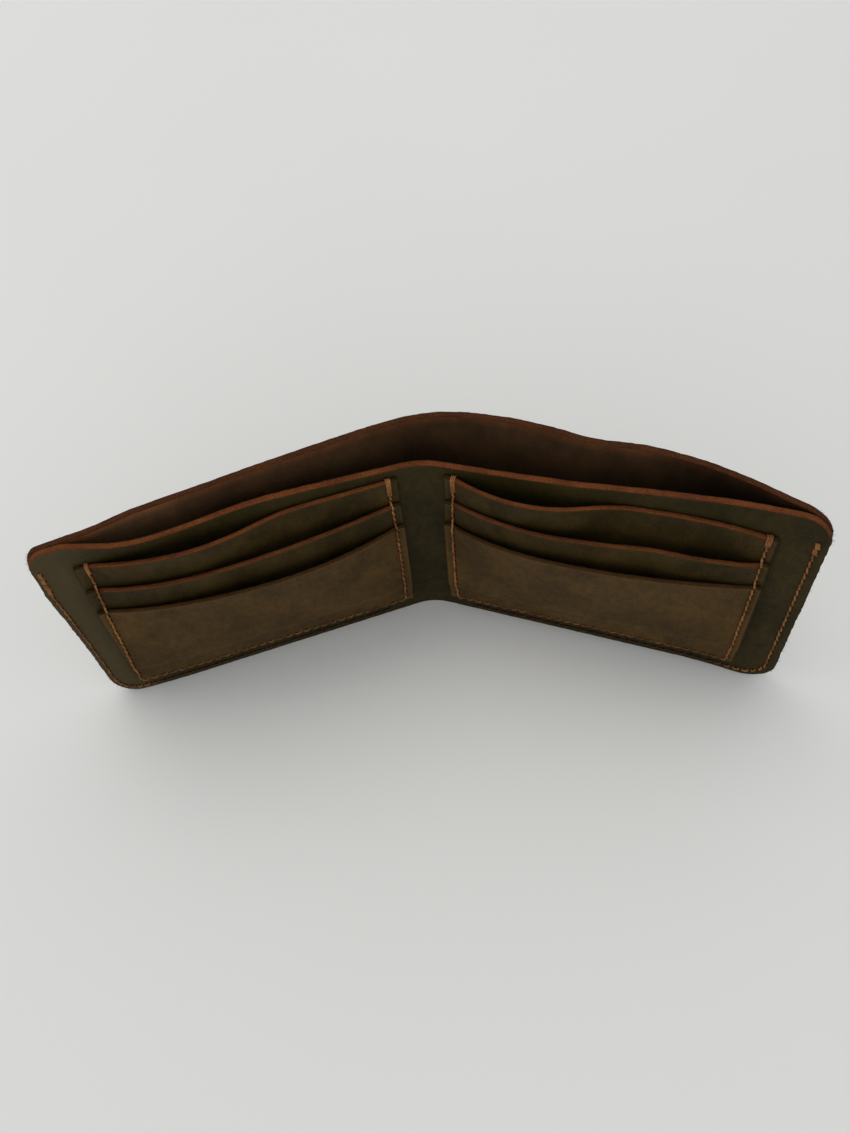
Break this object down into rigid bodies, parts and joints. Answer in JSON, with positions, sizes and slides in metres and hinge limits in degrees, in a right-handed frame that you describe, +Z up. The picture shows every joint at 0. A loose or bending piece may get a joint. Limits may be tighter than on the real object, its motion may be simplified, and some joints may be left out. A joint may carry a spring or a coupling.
{
  "type": "bifold wallet",
  "caption": "Leather bifold wallet standing half open on its long edge, with stepped card pockets on both halves and an open-topped bill compartment between the outer shell and the liner.",
  "frame": {"origin": "middle of the footprint, on the surface the wallet stands on", "axes": "+X along the wallet, from the left half to the right half; +Z up from the bottom edge to the open mouth of the bill compartment; the card pockets face -Y"},
  "size_m": [0.221, 0.0472, 0.09],
  "materials": {
    "shell_leather": "waxed dark brown grain outside, reddish-brown flesh side inside, raw rust-brown edges",
    "liner_leather": "waxed dark olive-brown grain, matte to soft satin, raw rust-brown edges",
    "pocket_leather": "waxed olive-brown grain with paler rubbed patches, raw rust-brown edges",
    "thread": "twisted waxed thread, slightly shiny"
  },
  "bodies": {
    "left_half": {"outer_shell_left": "shell_leather", "liner_left": "liner_leather", "outer_shell_spine": "shell_leather", "liner_spine": "liner_leather", "left_pocket_back": "pocket_leather", "left_pocket_middle": "pocket_leather", "left_pocket_front": "pocket_leather", "left_pocket_thread": "thread", "left_edge_thread": "thread", "left_foot_thread_back": "thread", "left_foot_thread_middle": "thread"},
    "right_half": {"outer_shell_right": "shell_leather", "liner_right": "liner_leather", "right_pocket_back": "pocket_leather", "right_pocket_middle": "pocket_leather", "right_pocket_front": "pocket_leather", "right_pocket_thread": "thread", "right_edge_thread": "thread", "right_foot_thread_back": "thread", "right_foot_thread_middle": "thread"}
  },
  "joints": [
    {"name": "fold", "type": "hinge", "parent": "left_half", "child": "right_half", "pos_m": [-0.00039, 0.00537, 0], "axis": [0, 0, -1], "range_deg": [-32, 133], "deforming": ["outer_shell_spine", "liner_spine"]}
  ]
}
